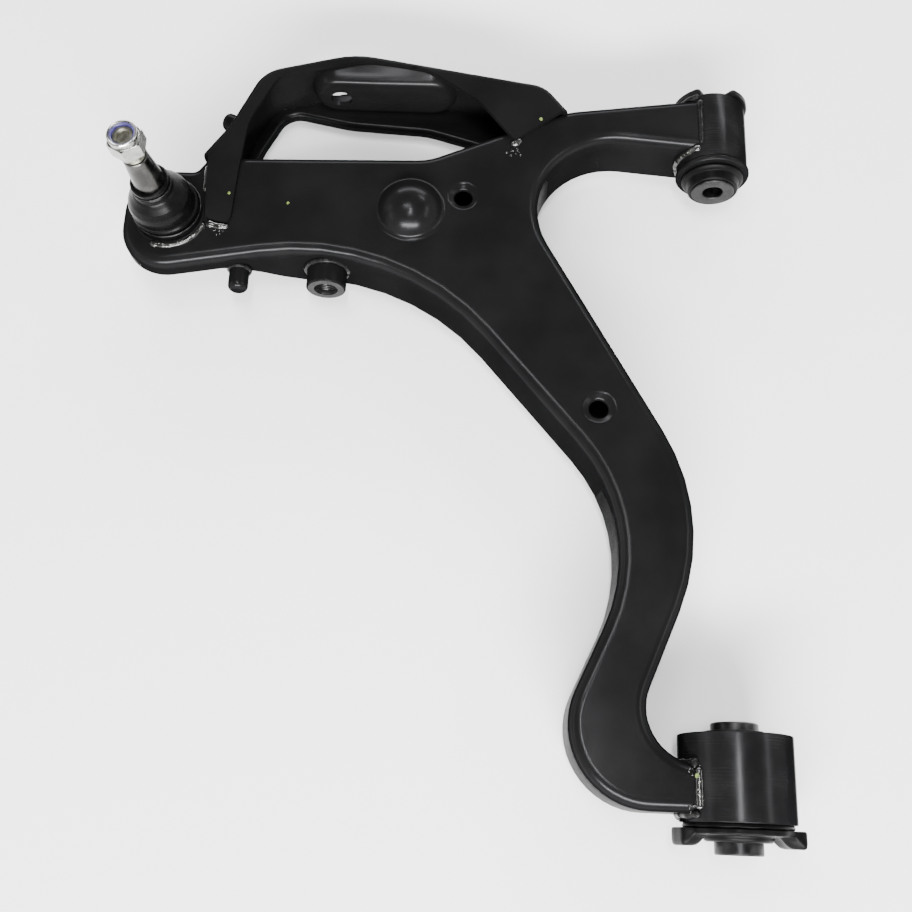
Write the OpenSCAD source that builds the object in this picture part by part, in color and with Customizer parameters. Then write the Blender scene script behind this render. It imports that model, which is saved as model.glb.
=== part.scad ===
// Suspension lower control arm: two welded pressings with a rear leg, a front leg and a
// ball joint at the outer end, a strap bracket round the damper eye, and two rubber bushes.
// Millimetres. The origin is the centre of the rear bush. +Y is the pivot axis that both
// bushes share, towards the front bush. +X points inboard, away from the ball joint. +Z is
// square to the arm's top plate, towards the ball stud.

/* [Layout] */
// Distance between the centres of the two bushes, along the pivot axis
bush_spacing = 516.5; // [430:0.1:640]
// Distance of the ball centre from the pivot axis
ball_reach = 440; // [366:0.1:530]
// Distance from the ball centre to the front bush, along the pivot axis
ball_to_front = 98.5; // [82:0.5:118]
// Distance of the ball centre below the top plate's upper face
ball_drop = 16; // [14:0.5:20]
// Distance from the ball centre to the damper bolt, across the pivot axis
damper_to_ball = 126; // [105:1:151]

/* [Pressings] */
// Height of the top plate's upper face above the pivot axis
plate_top = 26; // [21.5:0.1:31.5]
// Depth of the box section below the pivot axis
section_low = 30; // [25:0.5:36]
// Sheet thickness of the upper and the lower pressing
sheet_t = 4; // [3:0.1:5]
// Height of the lower pressing that shows below the upper pressing's edge
seam_height = 7; // [5:0.5:9]
// Height of the lower pressing's side flanges
tray_depth = 17; // [14:0.5:20]
// Rise of the underside from the damper bolt to the ball joint
end_rise = 31; // [20:1:36]
// Radius of the raised dome at its foot
dome_r = 26; // [20:0.5:30]
// Height of the dome above the top plate
dome_h = 17; // [10:0.5:20]
// Radius of the two drain holes
drain_r = 7.2; // [5:0.1:9]

/* [Damper bracket] */
// Sheet thickness of the strap
strap_t = 4; // [3:0.1:5]
// Clear length for the damper eye, from the arm's far wall to the pad
damper_gap = 75; // [62:0.5:90]
// Radius of the damper bolt's hole, in the pad and in the tube
damper_bolt_r = 9; // [7:0.25:10.75]
// Length of the pressed pad
pad_length = 112; // [90:1:116]
// Height of the pressed pad
pad_height = 36; // [30:0.5:42]
// Outer radius of the damper bolt's tube
tube_r = 16; // [13:0.25:18]
// Length of tube that stands out of the near wall
tube_stand = 19; // [12:0.5:24]

/* [Rear bush] */
// Outer radius of the rear eye
rear_eye_r = 40; // [33:0.5:48]
// Length of the rear eye
rear_eye_length = 58.7; // [50:0.1:72]
// Wall of the rear eye
rear_eye_wall = 4.5; // [3.5:0.1:6]
// Outer radius of the rear inner sleeve
rear_sleeve_r = 16.75; // [14:0.25:20]
// Length of the rear inner sleeve beyond the middle, towards the front bush
rear_sleeve_front = 38; // [36:0.5:48]
// Length of the rear inner sleeve beyond the middle, away from the front bush
rear_sleeve_back = 50; // [47.5:0.5:60]

/* [Front bush] */
// Outer radius of the front eye
front_eye_r = 28.75; // [25:0.25:33]
// Length of the front eye
front_eye_length = 59; // [50:0.5:70]
// Wall of the front eye
front_eye_wall = 4; // [3:0.1:5]
// Outer radius of the front inner sleeve
front_sleeve_r = 17.5; // [14:0.25:19]
// Length of the front inner sleeve beyond the middle, on either side
front_sleeve_back = 48; // [43:0.1:58]
front_sleeve_front = 37; // [36.5:0.1:46]

/* [Both bushes] */
// Radius of the bolt hole in the inner sleeves
bush_bolt_r = 8.25; // [6.5:0.05:10]
// Wall of the steel shell that is pressed into each eye
bush_shell_t = 2.2; // [1.5:0.1:3]
// Radial gap at the bonded face, which lets the sleeve turn as the rubber twists
twist_gap = 0.05; // [0.02:0.01:0.1]

/* [Ball joint] */
// Radius of the ball
ball_r = 18; // [15:0.1:21.6]
// Radius of the stud's neck
neck_r = 9; // [7.5:0.25:10]
// Radius of the taper at its wide end
taper_r = 12.2; // [10.5:0.1:13]
// Radius of the taper at its thread end
taper_end_r = 9.5; // [8.75:0.1:10.4]
// Length of the taper
taper_length = 31; // [25:0.5:38]
// Radius of the stud's thread
thread_r = 8; // [6:0.5:8.5]
// Length of the stud's thread
thread_length = 26; // [22:0.5:32]
// Outer radius of the housing
housing_r = 28.5; // [27:0.25:31]
// Lean of the stud as the joint was left, away from the pivot axis
stud_lean = 4; // [0:0.5:8]
// Radial running gap between the ball and its seat
ball_gap = 0.05; // [0.02:0.01:0.1]

/* [Studs] */
// Radius of the near stub pin
near_pin_r = 8; // [6:0.25:9.5]
// Length of the near stub pin outside the wall
near_pin_length = 24.5; // [18:0.5:30]
// Radius of the far stub pin
far_pin_r = 7.5; // [6:0.25:9]
// Length of the far stub pin outside the strap
far_pin_length = 20; // [15:0.5:24]

/* [Hidden] */

$fn = 96;
arc_step = 7.5;   // degrees between the points of a rounded corner
over = 1;         // how far a cut runs past the face that it opens
reach = 1500;     // larger than the whole part, for cutting blocks

front = [0, bush_spacing];
ball_along = bush_spacing - ball_to_front;
ball_height = plate_top - ball_drop;
ball = [-ball_reach, ball_along];
damper_x = damper_to_ball - ball_reach;
far_wall = ball_along + 57.5;          // the arm's wall behind the damper eye
pad_y = far_wall + damper_gap;         // face of the pad that the damper eye meets
damper_z = -2;                         // height of the damper bolt

// Corners of the arm's plan, anticlockwise, each [x, y, radius]. They start at the rear
// bush, go up the inboard edge, and come back past the ball joint.
function at(base, x, y, r) = [base[0] + x, base[1] + y, r];
mid = [ball[0] + 182, ball[1] - 13];   // inside the bend of the near wall
ARM = [
    [-5, 8, 0],
    [-82.5, 8, 36.5],
    [-10.7, 183.4, 155],
    at(front, -199, -5.1, 65),
    at(front, -12, -21, 0),
    at(front, -12, 27, 0),
    at(front, -122, 11.5, 60),
    [damper_x + 78, far_wall + 2, 45],
    at(ball, 26, 54.5, 6),
    at(ball, 16, 41, 6),
    at(ball, -37.5, 41, 37.5),
    at(ball, -37.5, -54, 36),
    [mid[0], mid[1], 190],
    [-60, 174.5, 130],
    [-150, -24, 56],
    [-5, -24, 0]
];

// Corners of the strap's plan. It ends inside the arm, where the arm's outline cuts it.
// Its far end lies on the front leg, so the side of it inboard of the bolt stretches to suit.
strap_back = pad_y + 23.5;             // outermost line of the strap
strap_run = 192;                       // from the bolt to the strap's end, as drawn
stretch = (front[0] - 122 - damper_x) / strap_run;
function on_damper(x, y, r) =
    let (k = x > 0 ? stretch : 1)
    [damper_x + x * k, strap_back + y, r * k];
STRAP_OUTER = [
    on_damper(strap_run, -51, 3),
    on_damper(172, -26.5, 25),
    on_damper(13, 0, 80),
    on_damper(-62.5, -20.5, 30),
    on_damper(-85.7, -74.5, 60),
    at(ball, 22, 54, 5)
];
STRAP_ROOT = [
    at(ball, 28, 0, 0),
    at(front, -175, -60, 0)
];
// The tongue and the foot by which the strap's upper flange lies on the arm
STRAP_TOP = concat(STRAP_OUTER, [
    at(ball, 28, 22, 20),
    at(ball, 30, -6, 6),
    at(ball, 50, -10, 6),
    at(ball, 52, 37, 60),
    on_damper(-70, -70.5, 60),
    on_damper(-48, -23.5, 25),
    on_damper(24, -7, 60),
    on_damper(74, -13.5, 60),
    on_damper(118, -43.5, 60),
    on_damper(148, -80.5, 4)
]);
// The opening inside the strap's lower flange
STRAP_WINDOW = [
    on_damper(164, -103.5, 0),
    on_damper(129, -56.5, 20),
    on_damper(74, -40.5, 60),
    on_damper(6, -36.5, 80),
    on_damper(-48, -25.5, 18),
    on_damper(-70, -70.5, 60),
    at(ball, 52, 22, 0)
];
strap_top = plate_top + strap_t;
strap_low = -section_low;
shelf_z = 4 - section_low;             // underside of the strap's lower flange
lip_h = 8;                             // height of the lip along that flange
pad_skin = strap_t;

// Rear bush
rear_half = rear_eye_length / 2;
rear_bush_r = rear_eye_r - rear_eye_wall;
rear_rubber_r = rear_bush_r - bush_shell_t;
rear_lip_t = 3.6;                      // rubber lip on the end of the eye
rear_stop_t = 4;                       // plate of the rubber stop
rear_wing_t = 12;                      // wings of the rubber stop
rear_wing_span = rear_eye_r + 5.5;     // from the axis to a wing's tip
rear_wing_root = rear_eye_r - 13;      // from the axis to a wing's inner edge
rear_wing_h = 26;                      // height of a wing
rear_collar_r = rear_eye_r - 16;       // thick middle of the rubber stop
rear_collar_t = 8.5;

// Front bush
front_half = front_eye_length / 2;
front_bush_r = front_eye_r - front_eye_wall;
front_rubber_r = front_bush_r - bush_shell_t;
front_lip_t = 5;                       // flange of the bush shell against the eye
front_lip_r = front_eye_r + 1.25;
front_bead_t = 4.5;                    // rubber bead outside that flange
front_stop_t = 5.5;                    // rubber stop on the far end
front_stop_r = front_eye_r + 2.25;
front_notch_low = 15;                  // the notch in the stop starts at this height
front_notch_w = 26;                    // width of that notch

// Ball joint, measured from the ball centre along the joint's own axis
seat_r = ball_r + 4;                   // outside of the plastic seat
cap_slack = 0.01;                      // between the closing cap and its bore
seat_up = 0.62 * ball_r;               // the seat reaches this far past the ball's middle
seat_floor = 2;                        // plastic under the ball
seat_low = ball_r + seat_floor;
ring_t = 2;                            // preload ring under the seat
cap_t = 3;                             // closing cap under the ring
crimp_t = 1.5;                         // edge of the housing that is rolled over the cap
swing_cone = 29;                       // half angle that the opening leaves the stud
shoulder = ball_drop + 1.5;            // ledge of the housing that the boot stands on
neck_top = shoulder + 1.5;             // top of the housing's neck
boot_seat_r = housing_r - 4.5;         // neck of the housing, which the boot grips
boot_base_r = boot_seat_r + 3.2;
boot_wall = 3;
boot_base_h = 6.5;
bulge_r = boot_seat_r + 1.2;           // widest radius of the boot
bulge_at = 33;
collar_low = 53.5;                     // where the boot's collar starts on the stud
collar_h = 9;
collar_r = 15.3;
collar_gap = 0.05;
clip_t = 1.1;
taper_low = collar_low + collar_h;
thread_low = taper_low + taper_length;
nut_low = thread_low + 11;
nut_h = 13;                            // hexagon of the nut
nut_af = 3 * thread_r;                 // across flats
nut_crown_h = 5;                       // round crown that holds the locking ring
nut_crown_r = 1.44 * thread_r;
locking_r = thread_r + 2.2;
nut_gap = 0.05;

black = [0.06, 0.06, 0.065];
rubber = [0.03, 0.03, 0.03];
steel = [0.7, 0.7, 0.68];
dark_steel = [0.25, 0.25, 0.26];

// ---- outlines ------------------------------------------------------------------------

function xy(p) = [p[0], p[1]];
function unit(v) = v / norm(v);
function left_of(v) = [-v[1], v[0]];
function turn(u, v) = atan2(u[0] * v[1] - u[1] * v[0], u * v);

// Points of one corner c, between the corners before and after it, rounded to its radius
function corner_arc(before, c, after) =
    c[2] == 0 ? [xy(c)] :
    let (
        u = unit(xy(before) - xy(c)),
        v = unit(xy(after) - xy(c)),
        half = acos(u * v) / 2,
        centre = xy(c) + unit(u + v) * c[2] / sin(half),
        start = xy(c) + u * c[2] / tan(half) - centre,
        sweep = turn(start, xy(c) + v * c[2] / tan(half) - centre),
        steps = ceil(abs(sweep) / arc_step),
        a = atan2(start[1], start[0])
    )
    [for (i = [0 : steps]) centre + c[2] * [cos(a + sweep * i / steps), sin(a + sweep * i / steps)]];

function rounded(corners) =
    let (n = len(corners))
    [for (i = [0 : n - 1])
        each corner_arc(corners[(i + n - 1) % n], corners[i], corners[(i + 1) % n])];

// The same corners with every side moved inwards by d
function moved_in(corners, d) =
    let (n = len(corners))
    [for (i = [0 : n - 1])
        let (
            c = corners[i],
            e1 = unit(xy(c) - xy(corners[(i + n - 1) % n])),
            e2 = unit(xy(corners[(i + 1) % n]) - xy(c)),
            n1 = left_of(e1),
            n2 = left_of(e2),
            p = xy(c) + (n1 + n2) * d / (1 + n1 * n2),
            r = c[2] == 0 ? 0 : turn(e1, e2) > 0 ? max(c[2] - d, 0) : c[2] + d
        )
        [p[0], p[1], r]];

module plan(corners, inset = 0) {
    polygon(rounded(moved_in(corners, inset)));
}

// A slab of the plan between two heights
module slab(corners, low, high, inset = 0) {
    translate([0, 0, low]) linear_extrude(high - low) plan(corners, inset);
}

// A wall that follows the plan
module wall(corners, low, high, outer, inner) {
    translate([0, 0, low]) linear_extrude(high - low) difference() {
        plan(corners, outer);
        plan(corners, inner);
    }
}

// ---- placing -------------------------------------------------------------------------

// Turns a shape made along +Z to lie along +Y
module along_y() {
    rotate([-90, 0, 0]) children();
}

module rod_y(r, from, to) {
    translate([0, from, 0]) along_y() cylinder(r = r, h = to - from);
}

module tube_y(outer, inner, from, to) {
    difference() {
        rod_y(outer, from, to);
        rod_y(inner, from - over, to + over);
    }
}

module at_front() {
    translate([front[0], front[1], 0]) children();
}

module at_ball() {
    translate([ball[0], ball[1], ball_height]) children();
}

module on_stud() {
    at_ball() rotate([0, -stud_lean, 0]) children();
}

module at_damper() {
    translate([damper_x, 0, damper_z]) children();
}

// ---- the pressings -------------------------------------------------------------------

// Everything above the arm's underside, raised by dz. The underside is level as far as the
// damper bolt, climbs to the near pin and is almost level again under the ball joint.
module above_underside(dz) {
    low = dz - section_low;
    rotate([90, 0, 0]) linear_extrude(reach, center = true) polygon([
        [ball[0] - reach, low + end_rise],
        [ball[0] + 44, low + end_rise],
        [damper_x - 22, low],
        [reach, low],
        [reach, reach],
        [ball[0] - reach, reach]
    ]);
}

module eye_cuts() {
    rod_y(rear_eye_r, -reach, rear_eye_length);
    rod_y(front_eye_r, bush_spacing - front_eye_length, reach);
}

module housing_cut() {
    translate([ball[0], ball[1], -reach / 2]) cylinder(r = housing_r, h = reach);
}

module damper_cut(r) {
    at_damper() rod_y(r, 0, far_wall + 10);
}

dome_sphere_r = (dome_r * dome_r + dome_h * dome_h) / (2 * dome_h);
dome = [mid[0] + 10, mid[1] + 23];
DRAINS = [[damper_x + 108, far_wall - 33.5], [-97.5, 264]];

module dome_at(r) {
    translate([dome[0], dome[1], plate_top + dome_h - dome_sphere_r]) sphere(r = r);
}

module upper_shell() {
    color(black) difference() {
        union() {
            slab(ARM, plate_top - sheet_t, plate_top);
            intersection() {
                wall(ARM, -section_low, plate_top, 0, sheet_t);
                above_underside(seam_height);
            }
            intersection() {
                dome_at(dome_sphere_r);
                translate([dome[0] - dome_r, dome[1] - dome_r, plate_top - sheet_t])
                    cube([2 * dome_r, 2 * dome_r, sheet_t + dome_h + over]);
            }
        }
        dome_at(dome_sphere_r - sheet_t);
        eye_cuts();
        housing_cut();
        damper_cut(tube_r);
        for (d = DRAINS)
            translate([d[0], d[1], 0]) cylinder(r = drain_r, h = plate_top + over);
    }
}

module lower_shell() {
    color(black) difference() {
        union() {
            difference() {
                intersection() {
                    slab(ARM, -section_low, plate_top - sheet_t, sheet_t);
                    above_underside(0);
                }
                above_underside(sheet_t);
            }
            difference() {
                intersection() {
                    wall(ARM, -section_low, plate_top - sheet_t, sheet_t, 2 * sheet_t);
                    above_underside(0);
                }
                above_underside(tray_depth);
            }
        }
        eye_cuts();
        housing_cut();
        damper_cut(tube_r);
        translate([ball[0] - reach - 19, 0, -reach / 2]) cube(reach);
    }
}

// ---- the damper's mounting -----------------------------------------------------------

// A slot outline standing in the XZ plane and run along +Y
module slot_y(length, height, from, to) {
    translate([0, from, 0]) along_y() linear_extrude(to - from) {
        square([length - height, height], center = true);
        for (s = [-1, 1]) translate([s * (length - height) / 2, 0]) circle(d = height);
    }
}

pad_left = 19;                                 // from the bolt to the pad's outboard end
pad_right = (pad_length - pad_left) * stretch; // and to its inboard end
pad_shift = (pad_right - pad_left) / 2;
pad_span = pad_left + pad_right;

module damper_bracket() {
    outline = concat(STRAP_OUTER, STRAP_ROOT);
    color(black) difference() {
        union() {
            difference() {
                union() {
                    wall(outline, strap_low, plate_top, 0, strap_t);
                    difference() {
                        slab(outline, shelf_z, shelf_z + strap_t);
                        slab(STRAP_WINDOW, -reach, reach);
                    }
                    difference() {
                        wall(STRAP_WINDOW, shelf_z + strap_t - lip_h, shelf_z + strap_t,
                             -strap_t, 0);
                        translate([-reach, far_wall - reach + 20, -reach / 2])
                            cube([2 * reach, reach, reach]);
                    }
                }
                slab(ARM, -reach, plate_top);
                at_damper() translate([pad_shift, 0, 0])
                    slot_y(pad_span, pad_height, pad_y, strap_back + over);
            }
            slab(STRAP_TOP, plate_top, strap_top);
            intersection() {
                at_damper() translate([pad_shift, 0, 0]) difference() {
                    slot_y(pad_span, pad_height, pad_y, strap_back + over);
                    slot_y(pad_span - 2 * pad_skin, pad_height - 2 * pad_skin,
                           pad_y + pad_skin, strap_back + 2 * over);
                }
                slab(outline, -reach, reach);
            }
        }
        at_damper() rod_y(damper_bolt_r, pad_y - over, strap_back + over);
    }
}

// The near wall's outer face in line with the damper bolt
near_wall_y = mid[1] - 17.5;

module damper_bolt_tube() {
    color(black) at_damper()
        tube_y(tube_r, damper_bolt_r, near_wall_y - tube_stand, far_wall + 1.5);
}

// A round bar with a rounded tip at +Z
module round_tip_bar(r, length) {
    tip = 0.6 * r;
    rotate_extrude() intersection() {
        union() {
            square([r, length - tip]);
            square([r - tip, length]);
            translate([r - tip, length - tip]) circle(r = tip);
        }
        square([r, length]);
    }
}

near_pin = [ball[0] + 56, ball[1] - 31.5, 3];
near_pin_root = 10;

module near_stub_pin() {
    color(black) difference() {
        translate(near_pin + [0, near_pin_root, 0]) rotate([90, 0, 0])
            round_tip_bar(near_pin_r, near_pin_length + near_pin_root);
        slab(ARM, -reach, reach);
    }
}

// Middle of the far pin's foot on the strap's outer leg, and the way that leg faces
far_pin_share = 0.3;
leg_low = xy(STRAP_OUTER[4]);
leg_high = xy(STRAP_OUTER[3]);
far_pin = leg_low + (leg_high - leg_low) * far_pin_share;
far_pin_turn = atan2(leg_high[1] - leg_low[1], leg_high[0] - leg_low[0]);

module far_stub_pin() {
    color(black) translate([far_pin[0], far_pin[1], 0]) rotate([0, 0, far_pin_turn + 180])
        rotate([90, 0, 0]) round_tip_bar(far_pin_r, far_pin_length);
}

// ---- rear bush -----------------------------------------------------------------------

module rear_eye() {
    color(black) tube_y(rear_eye_r, rear_bush_r, -rear_half, rear_half);
}

module rear_bush_shell() {
    color(dark_steel) tube_y(rear_bush_r, rear_rubber_r, -rear_half, rear_half);
}

module rear_bush_rubber() {
    color(rubber) difference() {
        union() {
            rod_y(rear_rubber_r, -rear_half, rear_half - 3);
            rod_y(rear_eye_r - 2, -rear_half - rear_lip_t, -rear_half);
            rod_y(rear_sleeve_r + 4, 0, rear_half + 3);
        }
        rod_y(rear_sleeve_r + twist_gap, -rear_half - 2 * rear_lip_t, rear_half + 2 * rear_lip_t);
    }
}

module rear_bush_stop() {
    back = -rear_half - rear_lip_t;
    color(rubber) difference() {
        union() {
            rod_y(rear_eye_r - 1, back - rear_stop_t, back);
            rod_y(rear_collar_r, back - rear_collar_t, back);
            for (s = [-1, 1]) intersection() {
                rod_y(rear_wing_span, back - rear_wing_t, back);
                translate([s > 0 ? rear_wing_root : -reach, back - rear_wing_t, -rear_wing_h / 2])
                    cube([s > 0 ? reach : reach - rear_wing_root, rear_wing_t, rear_wing_h]);
            }
        }
        rod_y(rear_sleeve_r + 4 * twist_gap, back - rear_wing_t - over, back + over);
    }
}

module rear_inner_sleeve() {
    color(dark_steel)
        tube_y(rear_sleeve_r, bush_bolt_r, -rear_sleeve_back, rear_sleeve_front);
}

// ---- front bush ----------------------------------------------------------------------

module front_eye() {
    color(black) at_front() tube_y(front_eye_r, front_bush_r, -front_half, front_half);
}

module front_bush_shell() {
    color(dark_steel) at_front() difference() {
        union() {
            rod_y(front_bush_r, -front_half, front_half);
            rod_y(front_lip_r, -front_half - front_lip_t, -front_half);
        }
        rod_y(front_rubber_r, -front_half - front_lip_t - over, front_half + over);
    }
}

module front_bush_rubber() {
    lip = -front_half - front_lip_t;
    color(rubber) at_front() difference() {
        union() {
            rod_y(front_rubber_r, lip, front_half);
            rod_y(front_sleeve_r + 8, lip - front_bead_t, lip);
            rod_y(front_sleeve_r + 3, lip - 2 * front_bead_t, lip);
        }
        rod_y(front_sleeve_r + twist_gap, lip - 3 * front_bead_t, front_half + over);
    }
}

module front_bush_stop() {
    color(rubber) at_front() difference() {
        tube_y(front_stop_r, front_sleeve_r + 4 * twist_gap, front_half, front_half + front_stop_t);
        translate([-front_notch_w / 2, front_half - over, front_notch_low])
            cube([front_notch_w, front_stop_t + 2 * over, front_stop_r]);
    }
}

module front_inner_sleeve() {
    color(steel) at_front()
        tube_y(front_sleeve_r, bush_bolt_r, -front_sleeve_back, front_sleeve_front);
}

// ---- ball joint ----------------------------------------------------------------------

housing_low = seat_low + ring_t + cap_t + crimp_t;
// Radius that the leaning neck sweeps at a height above the ball centre, with room to spare
function swept(h) = h * tan(swing_cone) + neck_r / cos(swing_cone) + 0.5;

module ball_housing() {
    color(black) at_ball() rotate_extrude() polygon([
        [seat_r - 2, -housing_low],
        [housing_r - 2, -housing_low],
        [housing_r, 2 - housing_low],
        [housing_r, shoulder],
        [boot_seat_r, shoulder],
        [boot_seat_r, neck_top],
        [swept(neck_top), neck_top],
        [swept(seat_up), seat_up],
        [seat_r, seat_up],
        [seat_r, crimp_t - housing_low],
        [seat_r - 2, crimp_t - housing_low]
    ]);
}

module ball_seat() {
    color([0.9, 0.9, 0.85]) at_ball() difference() {
        translate([0, 0, -seat_low]) cylinder(r = seat_r, h = seat_low + seat_up);
        sphere(r = ball_r + ball_gap);
        on_cone_mouth();
    }
}

// The seat's mouth, opened to the same cone as the housing
module on_cone_mouth() {
    rotate_extrude() polygon([
        [0, seat_up - 3],
        [swept(seat_up - 3), seat_up - 3],
        [swept(seat_up + over), seat_up + over],
        [0, seat_up + over]
    ]);
}

module preload_ring() {
    color(dark_steel) at_ball() translate([0, 0, -seat_low - ring_t]) difference() {
        cylinder(r = seat_r - 0.5, h = ring_t);
        translate([0, 0, -over]) cylinder(r = seat_r / 2, h = ring_t + 2 * over);
    }
}

module closing_cap() {
    color(dark_steel) at_ball() translate([0, 0, -seat_low - ring_t - cap_t])
        cylinder(r = seat_r - cap_slack, h = cap_t);
}

module ring(inner, outer, low, high) {
    rotate_extrude() translate([inner, low]) square([outer - inner, high - low]);
}

module boot_lower_clip() {
    low = shoulder + 0.2;
    color(dark_steel) at_ball()
        ring(boot_base_r, boot_base_r + clip_t, low, low + 1.5 * clip_t);
}

// Outer profile of the boot from its base to its collar, and the same moved in by its wall
function boot_side(d) = [
    [boot_base_r - d, shoulder + boot_base_h - 2],
    [bulge_r - 1.5 - d, shoulder + boot_base_h],
    [bulge_r - d, bulge_at - 3],
    [bulge_r - d, bulge_at + 3],
    [bulge_r - 2.2 - d, bulge_at + 9],
    [collar_r + 3 - d, collar_low - 3],
    [collar_r - d, collar_low]
];

function backwards(list) = [for (i = [len(list) - 1 : -1 : 0]) list[i]];

module boot() {
    color(rubber) {
        at_ball() ring(boot_seat_r, boot_base_r, shoulder, shoulder + boot_base_h);
        on_stud() rotate_extrude() polygon(concat(
            boot_side(0),
            [
                [collar_r, taper_low],
                [taper_r + collar_gap, taper_low],
                [taper_r + collar_gap, collar_low]
            ],
            backwards(boot_side(boot_wall))
        ));
    }
}

module boot_upper_clip() {
    color(dark_steel) on_stud()
        ring(collar_r, collar_r + clip_t, collar_low + 3, collar_low + 3 + 2 * clip_t);
}

module ball_stud() {
    chamfer = 1.5;
    color(steel) on_stud() {
        sphere(r = ball_r);
        rotate_extrude() polygon([
            [0, 0],
            [neck_r, 0],
            [neck_r, collar_low - 6],
            [taper_r, collar_low - 1],
            [taper_r, taper_low],
            [taper_end_r, thread_low],
            [thread_r, thread_low],
            [thread_r, thread_low + thread_length - chamfer],
            [thread_r - chamfer, thread_low + thread_length],
            [0, thread_low + thread_length]
        ]);
    }
}

module stud_nut() {
    color(steel) on_stud() translate([0, 0, nut_low]) difference() {
        union() {
            intersection() {
                cylinder(r = nut_af / sqrt(3), h = nut_h, $fn = 6);
                nut_chamfers();
            }
            translate([0, 0, nut_h]) cylinder(r = nut_crown_r, h = nut_crown_h);
        }
        translate([0, 0, -over]) cylinder(r = thread_r + nut_gap, h = nut_h + nut_crown_h);
        translate([0, 0, nut_h]) cylinder(r = locking_r, h = nut_crown_h - 1);
        translate([0, 0, nut_h]) cylinder(r = locking_r - 1, h = nut_crown_h + over);
    }
}

// A body of revolution that bevels the nut's corners at both ends
module nut_chamfers() {
    corner = nut_af / sqrt(3);
    bevel = 1;
    rotate_extrude() polygon([
        [0, 0],
        [corner - 2 * bevel, 0],
        [corner, bevel],
        [corner, nut_h - bevel],
        [corner - 2 * bevel, nut_h],
        [0, nut_h]
    ]);
}

module nut_locking_ring() {
    color([0.15, 0.1, 0.45]) on_stud() translate([0, 0, nut_low + nut_h])
        ring(thread_r + nut_gap, locking_r, 0, nut_crown_h - 1);
}

// ---- what is drawn -------------------------------------------------------------------

upper_shell();
lower_shell();
damper_bracket();
damper_bolt_tube();
near_stub_pin();
far_stub_pin();
rear_eye();
rear_bush_shell();
rear_bush_rubber();
rear_bush_stop();
rear_inner_sleeve();
front_eye();
front_bush_shell();
front_bush_rubber();
front_bush_stop();
front_inner_sleeve();
ball_housing();
ball_seat();
preload_ring();
closing_cap();
boot_lower_clip();
boot();
boot_upper_clip();
ball_stud();
stud_nut();
nut_locking_ring();
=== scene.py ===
"""Looks of a suspension control arm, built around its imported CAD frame.

Sizes are written in millimetres in the frame's own axes and turned into metres as meshes are
made. +Y runs from the rear bush to the front bush, +X is inboard and +Z is the stud's side.
"""

import math
import random

import bmesh
import bpy
from mathutils import Matrix, Vector, geometry, noise


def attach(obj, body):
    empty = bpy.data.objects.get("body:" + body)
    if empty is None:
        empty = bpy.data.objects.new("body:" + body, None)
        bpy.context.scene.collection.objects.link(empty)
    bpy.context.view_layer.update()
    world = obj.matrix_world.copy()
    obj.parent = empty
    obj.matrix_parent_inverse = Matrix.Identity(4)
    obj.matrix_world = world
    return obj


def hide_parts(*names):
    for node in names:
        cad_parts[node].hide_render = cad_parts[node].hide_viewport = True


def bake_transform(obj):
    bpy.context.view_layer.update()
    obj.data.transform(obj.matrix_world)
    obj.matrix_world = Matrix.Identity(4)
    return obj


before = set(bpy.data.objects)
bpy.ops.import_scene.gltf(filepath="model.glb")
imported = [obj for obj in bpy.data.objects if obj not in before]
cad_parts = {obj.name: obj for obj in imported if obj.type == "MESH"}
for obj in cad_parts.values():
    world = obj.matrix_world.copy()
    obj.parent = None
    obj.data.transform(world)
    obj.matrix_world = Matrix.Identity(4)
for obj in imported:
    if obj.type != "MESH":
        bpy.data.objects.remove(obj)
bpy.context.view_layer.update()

MM = 0.001
MERGE = 0.004         # points nearer than this become one

# ---- the arm's sizes, as in the CAD source ----------------------------------------------

FRONT = (0.0, 516.5)
BALL = (-440.0, 418.0, 10.0)
DAMPER_X, DAMPER_Z = -314.0, -2.0
PLATE_TOP = 26.0
SECTION_LOW = 30.0
SHEET = 4.0
SEAM = 7.0
END_RISE = 31.0
PAD_Y = 550.5
STRAP_BACK = 574.0
STRAP_TOP_Z = PLATE_TOP + SHEET
NEAR_WALL_Y = 387.5
FAR_WALL = 475.5
LEAN = math.radians(4)
BOLT_R = 8.25
FILLET = 8.5          # outer radius of the upper pressing's bend
ARC_STEP = 7.5        # degrees between the points of a rounded corner

MID = (BALL[0] + 182, BALL[1] - 13)
DOME = (MID[0] + 10, MID[1] + 23)
DOME_R, DOME_H = 26.0, 17.0
DRAINS = ((DAMPER_X + 108, FAR_WALL - 33.5), (-97.5, 264.0))
DRAIN_R = 7.2
HOUSING_HOLE = 27.6


def near(base, x, y, r):
    """A corner given from a base point, with its radius."""
    return (base[0] + x, base[1] + y, r)


def on_damper(x, y, r):
    return (DAMPER_X + x, STRAP_BACK + y, r)


ARM = [
    (-4, 8, 0),
    (-82.5, 8, 36.5),
    (-10.7, 183.4, 155),
    near(FRONT, -199, -5.1, 65),
    near(FRONT, -4, -21.6, 0),
    near(FRONT, -4, 28, 0),
    near(FRONT, -122, 11.5, 60),
    (DAMPER_X + 78, FAR_WALL + 2, 45),
    near(BALL, 26, 54.5, 6),
    near(BALL, 16, 41, 6),
    near(BALL, -37.5, 41, 37.5),
    near(BALL, -37.5, -54, 36),
    (MID[0], MID[1], 190),
    (-60, 174.5, 130),
    (-150, -24, 56),
    (-4, -24, 0),
]
STRAP_OUTER = [
    on_damper(192, -51, 3),
    on_damper(172, -26.5, 25),
    on_damper(13, 0, 80),
    on_damper(-62.5, -20.5, 30),
    on_damper(-85.7, -74.5, 60),
    near(BALL, 22, 54, 5),
]
STRAP_ROOT = [near(BALL, 28, 0, 0), near(FRONT, -175, -60, 0)]
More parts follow.
